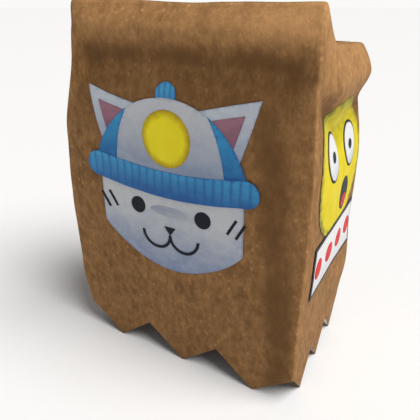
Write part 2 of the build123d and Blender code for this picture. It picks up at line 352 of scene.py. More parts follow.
def pink_edge(bm, axis, start, end, count):
    """Cuts the zigzag mouth along a flat panel; axis 0 runs along X and 1 along Y."""
    pitch = (end - start) / count
    for index in range(2 * count):
        near = start + pitch * index / 2
        far = near + pitch / 2
        rise = TOOTH if index % 2 else -TOOTH
        foot = Vector((0, 0, 0 if index % 2 else TOOTH))
        foot[axis] = near
        normal = Vector((0, 0, pitch / 2))
        normal[axis] = -rise
        faces = [
            face
            for face in bm.faces
            if near < face.calc_center_median()[axis] < far and face.calc_center_median().z < TOOTH * 1.2
        ]
        cut_plane(bm, foot, normal, faces)
    spare = []
    for face in bm.faces:
        centre = face.calc_center_median()
        if centre.z < zigzag_height(centre[axis], start, end, count) - 1e-6:
            spare.append(face)
    bmesh.ops.delete(bm, geom=spare, context="FACES")


def turn_outward(bm, outward):
    """Makes a sheet's faces point the way its printed side does."""
    bm.normal_update()
    wrong = [face for face in bm.faces if face.normal.dot(Vector(outward)) < 0]
    bmesh.ops.reverse_faces(bm, faces=wrong)


def make_piece(name, bm, material, smooth=True):
    """A finished object at the origin, with its place in its mesh."""
    mesh = bpy.data.meshes.new(name)
    bm.to_mesh(mesh)
    bm.free()
    piece = bpy.data.objects.new(name, mesh)
    bpy.context.scene.collection.objects.link(piece)
    mesh.materials.append(material)
    for polygon in mesh.polygons:
        polygon.use_smooth = smooth
    return piece


def thicken(piece, thickness=PAPER, inside=None):
    """Gives a sheet its thickness, inward from its printed face."""
    if inside:
        piece.data.materials.append(inside)
    solid = piece.modifiers.new("paper thickness", "SOLIDIFY")
    solid.thickness = thickness
    solid.offset = -1
    solid.use_even_offset = False
    solid.material_offset = 1 if inside else 0
    return piece


# %% [markdown]
# ## Kraft paper
# Kraft is unbleached paper: warm brown, with slow cloudy patches, a mottle, a fine grain that lies
# mostly one way, and small bright flecks. We build that once as a node group, because the outside,
# the inside, and the worn folds with their painted light all use it with different values. The group
# only puts out a colour and a height; the shader stays in the material, which mixes its colours by the
# two masks that the sheets' points carry: one for worn folds and painted light, one for painted shade.

# %% Node helpers for groups, settings and places
def new_group(name, inputs, outputs):
    """An empty shader node group with named sockets."""
    group = bpy.data.node_groups.new(name, "ShaderNodeTree")
    for label, kind, value in inputs:
        socket = group.interface.new_socket(label, in_out="INPUT", socket_type=kind)
        if value is not None:
            socket.default_value = value
    for label, kind in outputs:
        group.interface.new_socket(label, in_out="OUTPUT", socket_type=kind)
    start = group.nodes.new("NodeGroupInput")
    end = group.nodes.new("NodeGroupOutput")
    return group, start, end


def add(tree, kind, **settings):
    """A node with its settings and input values given by name."""
    node = tree.nodes.new(kind)
    for key, value in settings.items():
        if hasattr(node, key):
            setattr(node, key, value)
        else:
            node.inputs[key.replace("_", " ")].default_value = value
    return node


def stretched(tree, scale):
    """Object coordinates, scaled along each axis."""
    coordinates = tree.nodes.new("ShaderNodeTexCoord")
    mapping = tree.nodes.new("ShaderNodeMapping")
    mapping.inputs["Scale"].default_value = scale
    tree.links.new(coordinates.outputs["Object"], mapping.inputs["Vector"])
    return mapping.outputs["Vector"]


def attribute(tree, name):
    """A mask that a sheet's own points carry."""
    node = tree.nodes.new("ShaderNodeAttribute")
    node.attribute_name = name
    return node.outputs["Fac"]


# %% Node helpers for values and colours
def remap(tree, value, low, high, to_low=0.0, to_high=1.0):
    """Stretches a range of values onto another, clamped at both ends."""
    node = tree.nodes.new("ShaderNodeMapRange")
    node.inputs["From Min"].default_value = low
    node.inputs["From Max"].default_value = high
    node.inputs["To Min"].default_value = to_low
    node.inputs["To Max"].default_value = to_high
    tree.links.new(value, node.inputs["Value"])
    return node.outputs["Result"]


def mixed(tree, factor, first, second):
    """A colour mix; each colour is a socket or a plain value."""
    node = tree.nodes.new("ShaderNodeMix")
    node.data_type = "RGBA"
    for socket, value in ((node.inputs[0], factor), (node.inputs[6], first), (node.inputs[7], second)):
        if isinstance(value, bpy.types.NodeSocket):
            tree.links.new(value, socket)
        else:
            socket.default_value = value
    return node.outputs[2]


def maths(tree, operation, first, second=0.0):
    """One step of arithmetic; each value is a socket or a number."""
    node = tree.nodes.new("ShaderNodeMath")
    node.operation = operation
    for socket, value in zip(node.inputs, (first, second)):
        if isinstance(value, bpy.types.NodeSocket):
            tree.links.new(value, socket)
        else:
            socket.default_value = value
    return node.outputs[0]


# %% The fibre group
def fibre_group():
    """Cloudy, mottled paper with a fine grain and bright flecks."""
    group, start, end = new_group(
        "paper_fibres",
        [
            ("Base", "NodeSocketColor", (0.4, 0.25, 0.13, 1)),
            ("Pale", "NodeSocketColor", (0.6, 0.42, 0.26, 1)),
            ("Dark", "NodeSocketColor", (0.25, 0.15, 0.07, 1)),
            ("Fleck", "NodeSocketFloat", 0.5),
        ],
        [("Color", "NodeSocketColor"), ("Height", "NodeSocketFloat")],
    )
    cloud = add(group, "ShaderNodeTexNoise", Scale=1.0, Detail=4.0, Roughness=0.6)
    group.links.new(stretched(group, (34, 34, 24)), cloud.inputs["Vector"])
    mottle = add(group, "ShaderNodeTexNoise", Scale=1.0, Detail=4.0, Roughness=0.6)
    group.links.new(stretched(group, (210, 210, 130)), mottle.inputs["Vector"])
    fibre = add(group, "ShaderNodeTexNoise", Scale=1.0, Detail=4.0, Roughness=0.7)
    group.links.new(stretched(group, (760, 760, 330)), fibre.inputs["Vector"])
    fleck = add(group, "ShaderNodeTexVoronoi", Scale=1.0)
    group.links.new(stretched(group, (270, 270, 210)), fleck.inputs["Vector"])
    cloudy = remap(group, cloud.outputs["Fac"], 0.32, 0.68)
    mottled = remap(group, mottle.outputs["Fac"], 0.34, 0.66)
    grain = remap(group, fibre.outputs["Fac"], 0.3, 0.7)
    dot = remap(group, fleck.outputs["Distance"], 0.34, 0.10)
    chosen = group.nodes.new("ShaderNodeSeparateColor")
    group.links.new(fleck.outputs["Color"], chosen.inputs["Color"])
    flecks = maths(group, "MULTIPLY", dot, remap(group, chosen.outputs["Red"], 0.45, 1.0))
    clouds = maths(group, "MULTIPLY", cloudy, 0.75)
    colour = mixed(group, clouds, start.outputs["Base"], start.outputs["Dark"])
    colour = mixed(group, maths(group, "MULTIPLY", mottled, 0.52), colour, start.outputs["Pale"])
    colour = mixed(group, maths(group, "MULTIPLY", grain, 0.50), colour, start.outputs["Dark"])
    fleck_amount = maths(group, "MULTIPLY", flecks, start.outputs["Fleck"])
    colour = mixed(group, fleck_amount, colour, start.outputs["Pale"])
    height = maths(group, "ADD", maths(group, "MULTIPLY", mottled, 0.5), grain)
    group.links.new(colour, end.inputs["Color"])
    group.links.new(height, end.inputs["Height"])
    return group


PAPER_FIBRES = fibre_group()
print("fibre group:", len(PAPER_FIBRES.nodes), "nodes")


# %% A plain shader, and its bump
def shader_material(name, roughness, sheen=0.0, specular=0.3):
    """A material with one Principled shader, and its tree."""
    material = bpy.data.materials.new(name)
    material.use_nodes = True
    tree = material.node_tree
    shader = tree.nodes["Principled BSDF"]
    shader.inputs["Roughness"].default_value = roughness
    shader.inputs["Specular IOR Level"].default_value = specular
    shader.inputs["Sheen Weight"].default_value = sheen
    return material, tree, shader


def bump_into(tree, shader, height, strength, distance):
    """Feeds a height through a Bump node into the shader's normal."""
    node = tree.nodes.new("ShaderNodeBump")
    node.inputs["Strength"].default_value = strength
    node.inputs["Distance"].default_value = distance
    tree.links.new(height, node.inputs["Height"])
    tree.links.new(node.outputs["Normal"], shader.inputs["Normal"])


# %% Kraft
def kraft_material(name, base, pale, dark, fleck):
    """Brown bag paper: paler fibres where it is worn and where light is painted on, a dark tone where
    shade is painted, slow wrinkles.
    """
    material, tree, shader = shader_material(name, 0.86, specular=0.16)
    fibres = add(tree, "ShaderNodeGroup", node_tree=PAPER_FIBRES)
    rubbed_and_lit_fibres = add(tree, "ShaderNodeGroup", node_tree=PAPER_FIBRES)
    lighter = [min(1.0, 1.25 * value) for value in pale]
    for group, colours in ((fibres, (base, pale, dark)), (rubbed_and_lit_fibres, (pale, lighter, base))):
        for socket, value in zip(("Base", "Pale", "Dark"), colours):
            group.inputs[socket].default_value = (*value, 1)
        group.inputs["Fleck"].default_value = fleck
    wrinkle = add(tree, "ShaderNodeTexNoise", Scale=1.0, Detail=3.0, Roughness=0.5, Distortion=0.4)
    tree.links.new(stretched(tree, (46, 46, 34)), wrinkle.inputs["Vector"])
    slow = maths(tree, "MULTIPLY", wrinkle.outputs["Fac"], 6.0)
    height = maths(tree, "ADD", slow, maths(tree, "MULTIPLY", fibres.outputs["Height"], 0.25))
    ragged = remap(tree, wrinkle.outputs["Fac"], 0.3, 0.7, 0.55, 1.15)
    # Worn folds, and painted light on the band and rolls, pull towards the paler fibres.
    rubbed_and_lit = maths(tree, "MULTIPLY", attribute(tree, "wear_and_light"), ragged)
    rubbed_and_lit = maths(tree, "MINIMUM", rubbed_and_lit, 1.0)
    colour = mixed(tree, rubbed_and_lit, fibres.outputs["Color"], rubbed_and_lit_fibres.outputs["Color"])
    # The hollow mask is painted shade; it pulls the colour towards the dark tone.
    shaded = maths(tree, "MULTIPLY", attribute(tree, "hollow"), ragged)
    colour = mixed(tree, maths(tree, "MINIMUM", shaded, 0.85), colour, (*dark, 1))
    tree.links.new(colour, shader.inputs["Base Color"])
    rough = remap(tree, fibres.outputs["Height"], 0.2, 1.2, 0.72, 0.92)
    tree.links.new(rough, shader.inputs["Roughness"])
    bump_into(tree, shader, height, 0.6, 0.0004)
    return material


KRAFT = kraft_material(
    "kraft", (0.292, 0.145, 0.052), (0.635, 0.343, 0.138), (0.137, 0.065, 0.021), 0.60
)
KRAFT_INSIDE = kraft_material(
    "kraft_inside", (0.29, 0.15, 0.060), (0.46, 0.26, 0.12), (0.16, 0.08, 0.030), 0.4
)
print("kraft for the outside and the inside")

# %% [markdown]
# ## The broad front
# One sheet runs from the pinked mouth to the ridge. The grid is cut along the zigzag while it is
# flat, so the cut is crisp, and only then is it bent.

# %% Grid counts, panels and bending
BROAD_CELLS = 84
FRONT_CELLS_UP = 120
GUSSET_CELLS = 60
WAIST_CELLS_UP = 92
END_CELLS = 48


def broad_panel(y, top, cells_up):
    """The front or the back with its pinked foot, still flat."""
    bm = flat_grid((-HALF_WIDTH, y, 0), (2 * HALF_WIDTH, 0, 0), (0, 0, top), BROAD_CELLS, cells_up)
    pink_edge(bm, 0, -HALF_WIDTH, HALF_WIDTH, FRONT_TEETH)
    turn_outward(bm, (0, y, 0))
    return bm


def gusset_panel(side):
    """A whole side with its pinked foot, still flat; side is 1 on the right and -1 on the left."""
    corner, depth = (side * HALF_WIDTH, FRONT, 0), (0, REAR - FRONT, 0)
    bm = flat_grid(corner, depth, (0, 0, WAIST), GUSSET_CELLS, WAIST_CELLS_UP)
    pink_edge(bm, 1, FRONT, REAR, SIDE_TEETH)
    turn_outward(bm, (side, 0, 0))
    return bm


def bend(bm):
    """Bends a flat sheet, and marks its worn and lit places and its painted shade for the paper's colour.
    """
    wear_and_light = bm.verts.layers.float.new("wear_and_light")
    hollow = bm.verts.layers.float.new("hollow")
    for vertex in bm.verts:
        vertex[wear_and_light] = wear_and_light_amount(vertex.co)
        # The hollow mask holds painted shade.
        vertex[hollow] = painted_shade_amount(vertex.co)
        vertex.co = soften(vertex.co)


# %% Front panel
def front_panel():
    """One sheet from the mouth up to the ridge."""
    bm = broad_panel(FRONT, RIDGE, FRONT_CELLS_UP)
    bend(bm)
    piece = thicken(make_piece("front_sheet", bm, KRAFT), inside=KRAFT_INSIDE)
    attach(piece, "front")
    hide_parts("front_panel")
    return piece


front_sheet = front_panel()
print("front sheet:", len(front_sheet.data.polygons), "faces")

# %% [markdown]
# ## Gussets and back
# The gussets fold inward along a crease in the middle of each side when the bag is pressed flat.
# Pressing also takes the pinch and the bulges out of the paper: left in, they would stick through the
# front once the halves lie behind it. So each half rides on its own body. The back does the same.


def press_flat(piece, axis, place):
    """Gives a sheet its own copy of its mesh; it doesn't flatten it. axis (0 is X and 1 is Y) and place
    only set a direction and an anchor that nothing uses.
    """
    direction, anchor = Vector(), Vector()
    direction[axis] = 1
    anchor[axis] = place
    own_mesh(piece)


def gusset_half(side, rear):
    """The front or the rear half of one side, up to the waist."""
    name = ("right" if side > 0 else "left") + "_gusset_" + ("rear" if rear else "front")
    bm = gusset_panel(side)
    cut_plane(bm, (0, 0, 0), (0, -1 if rear else 1, 0), clear_outer=True)
    bend(bm)
    piece = thicken(make_piece(name + "_sheet", bm, KRAFT), inside=KRAFT_INSIDE)
    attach(piece, name)
    press_flat(piece, 0, side * HALF_WIDTH)
    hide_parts(name)
    return piece


gussets = [gusset_half(side, rear) for side in (1, -1) for rear in (False, True)]
print("gusset halves:", [piece.name for piece in gussets])


# %% Back panel and its glued lap
LAP_DEPTH = 1.6 * PAPER


def back_panel():
    """The back, from the mouth up to the waist."""
    bm = broad_panel(REAR, WAIST, WAIST_CELLS_UP)
    bend(bm)
    piece = thicken(make_piece("back_sheet", bm, KRAFT), inside=KRAFT_INSIDE)
    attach(piece, "back")
    press_flat(piece, 1, REAR)
    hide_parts("back_panel")
    return piece


def back_lap():
    """The glued lap lies inside, a little more than one paper's thickness in."""
    low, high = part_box("back_seam")
    bm = flat_grid((low.x, REAR, low.z), (high.x - low.x, 0, 0), (0, 0, high.z - low.z), 8, 80)
    turn_outward(bm, (0, 1, 0))
    bend(bm)
    bmesh.ops.translate(bm, verts=bm.verts, vec=(0, -LAP_DEPTH, 0))
    piece = thicken(make_piece("back_lap", bm, KRAFT_INSIDE))
    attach(piece, "back")
    press_flat(piece, 1, REAR - LAP_DEPTH)
    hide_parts("back_seam")
    return piece


back_pieces = [back_panel(), back_lap()]
print("back:", [piece.name for piece in back_pieces])

# %% [markdown]
# ## The closed end
# Above the waist the bag is a puffed block: the side rolls bulge over the pinched gussets, and the
# top slopes down behind the ridge. We start from a cube, drop the faces that the bag doesn't have,
# divide it, and bend it with the same function.


def end_shell():
    """A puffed block without its front and its floor."""
    bm = bmesh.new()
    bmesh.ops.create_cube(bm, size=1)
    spare = [face for face in bm.faces if face.normal.z < -0.5 or face.normal.y < -0.5]
    bmesh.ops.delete(bm, geom=spare, context="FACES")
    bmesh.ops.subdivide_edges(bm, edges=bm.edges, cuts=END_CELLS - 1, use_grid_fill=True)
    for vertex in bm.verts:
        u, v, w = vertex.co
        y = FRONT + (v + 0.5) * (REAR - FRONT)
        top = top_height(y)
        vertex.co = (2 * u * HALF_WIDTH, y, WAIST + (w + 0.5) * (top - WAIST))
    bend(bm)
    bm.normal_update()
    return bm


def ride_end(piece):
    """Bakes a piece's transform into its mesh."""
    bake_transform(piece)


end_piece = thicken(make_piece("end_shell", end_shell(), KRAFT), inside=KRAFT_INSIDE)
ride_end(end_piece)
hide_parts("end_panel", "end_rear_band", "left_end_gusset", "right_end_gusset")
print("end shell:", len(end_piece.data.polygons), "faces")


# %% [markdown]
# ## Cut-outs
# The two faces are thin card, cut out and glued flat. Their outlines are already exact in the
# construction, so we copy each one, join its loose triangles, slice it along the very lines of the
# sheet below it, and send it through the soft shape. Both then bend at the same places, so no card
# sinks into its sheet. Each copy keeps its layer's height above the bag, straight off the surface.

# %% Slice and bend a cut-out
WIDTH = 2 * HALF_WIDTH
DEPTH = REAR - FRONT
FRONT_LINES = {0: (-HALF_WIDTH, WIDTH / BROAD_CELLS), 2: (0.0, RIDGE / FRONT_CELLS_UP)}
SIDE_LINES = {1: (FRONT, DEPTH / GUSSET_CELLS), 2: (0.0, WAIST / WAIST_CELLS_UP)}
TOP_LINES = {0: (-HALF_WIDTH, WIDTH / END_CELLS), 1: (FRONT, DEPTH / END_CELLS)}


def slice_on_lines(bm, low, high, lines):
    """Cuts a flat mesh along the sheet's own grid lines, so that both bend alike."""
    for axis, (first, pitch) in lines.items():
        lowest = math.ceil((low[axis] - first) / pitch)
        highest = math.floor((high[axis] - first) / pitch)
        for index in range(lowest, highest + 1):
            point, normal = Vector(), Vector()
            point[axis] = first + index * pitch
            normal[axis] = 1
            cut_plane(bm, point, normal)


def sliced_copy(node, lines):
    """A joined copy of a construction solid, cut along the sheet's grid lines."""
    bm = bmesh.new()
    bm.from_mesh(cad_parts[node].data)
    bmesh.ops.remove_doubles(bm, verts=bm.verts, dist=1e-6)
    bmesh.ops.dissolve_limit(bm, angle_limit=0.01, verts=bm.verts, edges=bm.edges)
    slice_on_lines(bm, *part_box(node), lines)
    return bm


# %% Bend a cut-out onto the soft bag
GLUE = 0.00025
CREASE_REACH = 0.0003
WAIST_REACH = 0.0007


def bend_front_cut_out(bm):
    """Sends a card of the front face to its layer above the soft front."""
    for vertex in bm.verts:
        x, y, z = vertex.co
        vertex.co = lifted((x, FRONT, z), (1, 0, 0), (0, 0, 1), FRONT - y + GLUE)


def bend_side_cut_out(bm):
    """Closes the narrow gaps at the creases, then bends."""
    hollow = bm.verts.layers.float.new("hollow")
    for vertex in bm.verts:
        x, y, z = vertex.co
        y = 0.0 if abs(y) < CREASE_REACH else y
        z = WAIST if abs(z - WAIST) < WAIST_REACH else z
        # The card's hollow mask is painted shade, in the pinch and under the roll.
        vertex[hollow] = card_painted_shade((x, y, z))
        vertex.co = lifted((HALF_WIDTH, y, z), (0, 1, 0), (0, 0, 1), x - HALF_WIDTH + GLUE)


def cut_out(node, material, body, side=False):
    """Replaces one construction solid with its bent copy, its outline marked for a painted rim."""
    bm = sliced_copy(node, SIDE_LINES if side else FRONT_LINES)
    bm.normal_update()
    rim = bm.verts.layers.float.new("rim")
    thin = 0 if side else 1
    for face in bm.faces:
        if abs(face.normal[thin]) < 0.5:
            for vertex in face.verts:
                vertex[rim] = 1.0
    if side:
        bend_side_cut_out(bm)
    else:
        bend_front_cut_out(bm)
    piece = make_piece(node + "_card", bm, material, smooth=False)
    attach(piece, body)
    if side:
        press_flat(piece, 0, HALF_WIDTH)
    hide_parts(node)
    return piece


# %% [markdown]
# ## Painted card
# The faces look hand painted: a flat colour that runs into a darker wash towards the bottom, with
# visible brush strokes, a darker cut edge and the tooth of the card showing through. One group makes
# the wash between two heights, and each card gives it its own two colours. The edge comes from a
# mask named "rim", which is 1 on the outline's own points.

# %% The wash group
def wash_group():
    """A painted wash between two heights, with brush marks and a darker rim."""
    group, start, end = new_group(
        "painted_wash",
        [
            ("Base", "NodeSocketColor", (0.8, 0.8, 0.8, 1)),
            ("Wash", "NodeSocketColor", (0.4, 0.4, 0.5, 1)),
            ("Low", "NodeSocketFloat", 0.08),
            ("High", "NodeSocketFloat", 0.12),
            ("Strokes", "NodeSocketFloat", 0.3),
            ("Rim", "NodeSocketFloat", 0.5),
        ],
        [("Color", "NodeSocketColor"), ("Height", "NodeSocketFloat")],
    )
    coordinates = group.nodes.new("ShaderNodeTexCoord")
    parts = group.nodes.new("ShaderNodeSeparateXYZ")
    group.links.new(coordinates.outputs["Object"], parts.inputs["Vector"])
    stroke = add(group, "ShaderNodeTexNoise", Scale=1.0, Detail=4.0, Roughness=0.6, Distortion=0.6)
    group.links.new(stretched(group, (62, 62, 105)), stroke.inputs["Vector"])
    tooth = add(group, "ShaderNodeTexNoise", Scale=1300.0, Detail=2.0, Roughness=0.5)
    group.links.new(coordinates.outputs["Object"], tooth.inputs["Vector"])
    span = group.nodes.new("ShaderNodeMapRange")
    span.interpolation_type = "SMOOTHSTEP"
    group.links.new(parts.outputs["Z"], span.inputs["Value"])
    group.links.new(start.outputs["Low"], span.inputs["From Min"])
    group.links.new(start.outputs["High"], span.inputs["From Max"])
    wash = maths(group, "SUBTRACT", 1.0, span.outputs["Result"])
    brush = remap(group, stroke.outputs["Fac"], 0.3, 0.7, -0.5, 0.5)
    brushed = maths(group, "MULTIPLY", brush, start.outputs["Strokes"])
    amount = group.nodes.new("ShaderNodeClamp")
    group.links.new(maths(group, "ADD", wash, brushed), amount.inputs["Value"])
    colour = mixed(group, amount.outputs["Result"], start.outputs["Base"], start.outputs["Wash"])
    uneven = remap(group, stroke.outputs["Fac"], 0.3, 0.65, 0.45, 1.0)
    rim = maths(group, "MULTIPLY", attribute(group, "rim"), uneven)
    rim_amount = maths(group, "MULTIPLY", rim, start.outputs["Rim"])
    colour = mixed(group, rim_amount, colour, start.outputs["Wash"])
    grey = remap(group, tooth.outputs["Fac"], 0.35, 0.7, 0.0, 0.10)
    colour = mixed(group, grey, colour, (0.05, 0.05, 0.06, 1))
    ridges = maths(group, "MULTIPLY", stroke.outputs["Fac"], 1.5)
    height = maths(group, "ADD", tooth.outputs["Fac"], ridges)
    group.links.new(colour, end.inputs["Color"])
    group.links.new(height, end.inputs["Height"])
    return group


PAINTED_WASH = wash_group()
print("wash group:", len(PAINTED_WASH.nodes), "nodes")


# %% Card painted with the wash
def wash_node(tree, base, wash, low, high, strokes, rim):
    """The wash with one card's own values."""
    paint = add(tree, "ShaderNodeGroup", node_tree=PAINTED_WASH)
    paint.inputs["Base"].default_value = (*base, 1)
    paint.inputs["Wash"].default_value = (*wash, 1)
    paint.inputs["Low"].default_value = low
    paint.inputs["High"].default_value = high
    paint.inputs["Strokes"].default_value = strokes
    paint.inputs["Rim"].default_value = rim
    return paint


def painted_card(name, base, wash, low, high, strokes=0.35, roughness=0.62, rim=0.75, specular=0.3):
    """Card painted one colour that runs into another below a height."""
    material, tree, shader = shader_material(name, roughness, specular=specular)
    paint = wash_node(tree, base, wash, low, high, strokes, rim)
    tree.links.new(paint.outputs["Color"], shader.inputs["Base Color"])
    rough = remap(tree, paint.outputs["Height"], 0.8, 1.7, roughness - 0.1, roughness + 0.12)
    tree.links.new(rough, shader.inputs["Roughness"])
    bump_into(tree, shader, paint.outputs["Height"], 0.35, 0.00015)
    return material


# %% Colours of the front face
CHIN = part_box("head")[0].z
EAR_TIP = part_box("left_ear")[1].z
hat_low, hat_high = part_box("hat_front")
HAT_FOOT = hat_low.z
HAT_TOP = hat_high.z
HEAD_WHITE = painted_card("head_white", (0.56, 0.58, 0.60), (0.17, 0.23, 0.40), CHIN - 0.020, CHIN + 0.060)
HAT_WHITE = painted_card(
    "hat_white", (0.53, 0.55, 0.58), (0.25, 0.30, 0.42), HAT_FOOT - 0.004, HAT_FOOT + 0.046
)
EAR_WHITE = painted_card("ear_white", (0.54, 0.58, 0.64), (0.24, 0.29, 0.42), HAT_FOOT, EAR_TIP)
EAR_PINK = painted_card(
    "ear_pink", (0.36, 0.17, 0.22), (0.20, 0.085, 0.135), HAT_FOOT + 0.018, EAR_TIP - 0.004
)
HAT_BLUE = painted_card(
    "hat_blue", (0.035, 0.30, 0.56), (0.006, 0.085, 0.32), HAT_FOOT - 0.004, HAT_TOP - 0.008
)
INK = painted_card(
    "black_ink",
    (0.007, 0.009, 0.018),
    (0.012, 0.014, 0.024),
    low=0.0,
    high=0.3,
    strokes=0.4,
    roughness=0.5,
    rim=0.0,
    specular=0.12,
)
GREY_WASH = painted_card("grey_wash", (0.27, 0.32, 0.42), (0.40, 0.43, 0.48), 0.12, 0.14, 1.2)
print("front colours ready")


# %% [markdown]
# The hat's cuff is drawn as ribbed knitting. Ribs are just a wave across the cuff: it darkens the
# grooves between them and feeds a bump. The bobble gets the same knit with narrower ribs. The round
# patch has a darker rim, which a distance from its own centre gives, and so has the round face.

# %% Ribbed knit
def ribbed_card(name, base, dark, spacing, low, high):
    """Blue card painted as ribbed knit."""
    material, tree, shader = shader_material(name, 0.75, sheen=0.2)
    coordinates = tree.nodes.new("ShaderNodeTexCoord")
    parts = tree.nodes.new("ShaderNodeSeparateXYZ")
    tree.links.new(coordinates.outputs["Object"], parts.inputs["Vector"])
    drift = add(tree, "ShaderNodeTexNoise", Scale=45.0, Detail=2.0)
    tree.links.new(coordinates.outputs["Object"], drift.inputs["Vector"])
    turns = maths(tree, "MULTIPLY", parts.outputs["X"], 2 * math.pi / spacing)
    turns = maths(tree, "ADD", turns, maths(tree, "MULTIPLY", drift.outputs["Fac"], 2.2))
    rib = remap(tree, maths(tree, "SINE", turns), -1.0, 0.2)
    yarn = add(tree, "ShaderNodeTexNoise", Scale=1.0, Detail=3.0, Roughness=0.6)
    tree.links.new(stretched(tree, (260, 260, 900)), yarn.inputs["Vector"])
    height = maths(tree, "ADD", rib, maths(tree, "MULTIPLY", yarn.outputs["Fac"], 0.5))
    paint = wash_node(tree, base, dark, low, high, strokes=0.4, rim=0.8)
    shade = remap(tree, height, 0.2, 1.0, 0.60, 0.0)
    colour = mixed(tree, shade, paint.outputs["Color"], (*dark, 1))
    tree.links.new(colour, shader.inputs["Base Color"])
    bump_into(tree, shader, height, 0.7, 0.0005)
    return material


# %% Round paint
def centred_card(name, centre, radius, middle, rim, ring):
    """Card painted darker towards a round rim, with painted shade where the card is marked hollow."""
    material, tree, shader = shader_material(name, 0.6, specular=0.14)
    coordinates = tree.nodes.new("ShaderNodeTexCoord")
    mapping = tree.nodes.new("ShaderNodeMapping")
    mapping.vector_type = "TEXTURE"
    mapping.inputs["Location"].default_value = centre
    mapping.inputs["Scale"].default_value = radius
    tree.links.new(coordinates.outputs["Object"], mapping.inputs["Vector"])
    flat = tree.nodes.new("ShaderNodeVectorMath")
    flat.operation = "LENGTH"
    tree.links.new(mapping.outputs["Vector"], flat.inputs[0])
    wobble = add(tree, "ShaderNodeTexNoise", Scale=210.0, Detail=3.0)
    tree.links.new(coordinates.outputs["Object"], wobble.inputs["Vector"])
    shaky = remap(tree, wobble.outputs["Fac"], 0.3, 0.7, -0.05, 0.05)
    edge = remap(tree, maths(tree, "ADD", flat.outputs["Value"], shaky), ring, 1.02)
    cloud = add(tree, "ShaderNodeTexNoise", Scale=80.0, Detail=4.0)
    tree.links.new(coordinates.outputs["Object"], cloud.inputs["Vector"])
    patchy = remap(tree, cloud.outputs["Fac"], 0.35, 0.7, 0.0, 0.35)
    colour = mixed(tree, patchy, (*middle, 1), (*[0.8 * value for value in middle], 1))
    uneven = remap(tree, wobble.outputs["Fac"], 0.3, 0.7, 0.40, 0.90)
    # Painted shade where the card's hollow mask marks it, mixed towards the rim's dark.
    painted_shade = maths(tree, "MULTIPLY", attribute(tree, "hollow"), uneven)
    shade_colour = [0.35 * first + 0.65 * second for first, second in zip(middle, rim)]
    colour = mixed(tree, painted_shade, colour, (*shade_colour, 1))
    colour = mixed(tree, edge, colour, (*rim, 1))
    tooth = add(tree, "ShaderNodeTexNoise", Scale=1300.0, Detail=2.0)
    tree.links.new(coordinates.outputs["Object"], tooth.inputs["Vector"])
    tree.links.new(colour, shader.inputs["Base Color"])
    rough = remap(tree, cloud.outputs["Fac"], 0.3, 0.7, 0.5, 0.68)
    tree.links.new(rough, shader.inputs["Roughness"])
    bump_into(tree, shader, tooth.outputs["Fac"], 0.35, 0.00015)
    return material


THIN = 0.001


def round_card(name, node, middle, rim, ring):
    """Round paint that fits one node's outline; its thin direction is left wide."""
    low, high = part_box(node)
    radius = [half if half > THIN else 1.0 for half in (high - low) / 2]
    return centred_card(name, (low + high) / 2, radius, middle, rim, ring)


# %% Cuff, bobble and patch
cuff_low, cuff_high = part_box("hat_cuff")
bobble_low, bobble_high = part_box("hat_bobble")
CUFF_RIB = 0.0062
BOBBLE_RIB = 0.0040
CUFF_KNIT = ribbed_card(
    "cuff_knit", (0.045, 0.32, 0.60), (0.008, 0.10, 0.34), CUFF_RIB, cuff_low.z, cuff_high.z
)
BOBBLE_KNIT = ribbed_card(
    "bobble_knit", (0.06, 0.36, 0.64), (0.010, 0.13, 0.38), BOBBLE_RIB, bobble_low.z - 0.01, bobble_high.z
)
PATCH_YELLOW = round_card("patch_yellow", "hat_patch", (0.88, 0.74, 0.02), (0.40, 0.26, 0.008), 0.72)
print("knit and patch ready")

# %% Glue on the front face
front_cards = {
    "left_ear": (EAR_WHITE, "white_card"),
    "right_ear": (EAR_WHITE, "white_card"),
    "head": (HEAD_WHITE, "white_card"),
    "left_inner_ear": (EAR_PINK, "pink_card"),
    "right_inner_ear": (EAR_PINK, "pink_card"),
    "hat_front": (HAT_WHITE, "white_card"),
    "left_hat_side": (HAT_BLUE, "blue_card"),
    "right_hat_side": (HAT_BLUE, "blue_card"),
    "hat_bobble": (BOBBLE_KNIT, "blue_card"),
    "hat_cuff": (CUFF_KNIT, "blue_card"),
    "hat_patch": (PATCH_YELLOW, "yellow_card"),
    "brow_patch": (GREY_WASH, "grey_card"),
    "nose": (INK, "black_card"),
}
for side in ("left", "right"):
    for feature in ("eye", "smile", "inner_cheek_mark", "outer_cheek_mark"):
        front_cards[f"{side}_{feature}"] = (INK, "black_card")
for node, (material, slot) in front_cards.items():
    cut_out(node, material, "front")
print("front cut-outs:", len(front_cards))

# %% [markdown]
# ## The side face and its banner
# The round face crosses two creases: the gusset's middle crease and the waist. It is cut along both,
# as a maker would. Its lower halves ride on the two gusset halves, and its top on the closed end.

# %% Colours of the side
face_front_low, face_front_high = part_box("side_face_front")
FACE_LOW = Vector((HALF_WIDTH, face_front_low.y, face_front_low.z))
FACE_HIGH = Vector((HALF_WIDTH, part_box("side_face_rear")[1].y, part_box("side_face_top")[1].z))
FACE_CENTRE = (FACE_LOW + FACE_HIGH) / 2
FACE_RADIUS = (FACE_HIGH - FACE_LOW) / 2
FACE_REACH = (1.0, FACE_RADIUS.y, FACE_RADIUS.z)
FACE_YELLOW = centred_card(
    "face_yellow", FACE_CENTRE, FACE_REACH, (0.74, 0.60, 0.004), (0.13, 0.13, 0.02), 0.89
)
EYE_WHITE = painted_card("eye_white", (0.78, 0.79, 0.80), (0.55, 0.57, 0.60), 0.150, 0.170)
BANNER_WHITE = painted_card("banner_white", (0.80, 0.80, 0.80), (0.66, 0.66, 0.68), 0.080, 0.105)
BANNER_RED = painted_card("banner_red", (0.72, 0.015, 0.020), (0.52, 0.008, 0.012), 0.090, 0.104)
TONGUE_RED = painted_card("tongue_red", (0.50, 0.02, 0.03), (0.62, 0.05, 0.06), 0.124, 0.134)
print("side face reaches from", round(FACE_LOW.z, 3), "to", round(FACE_HIGH.z, 3))

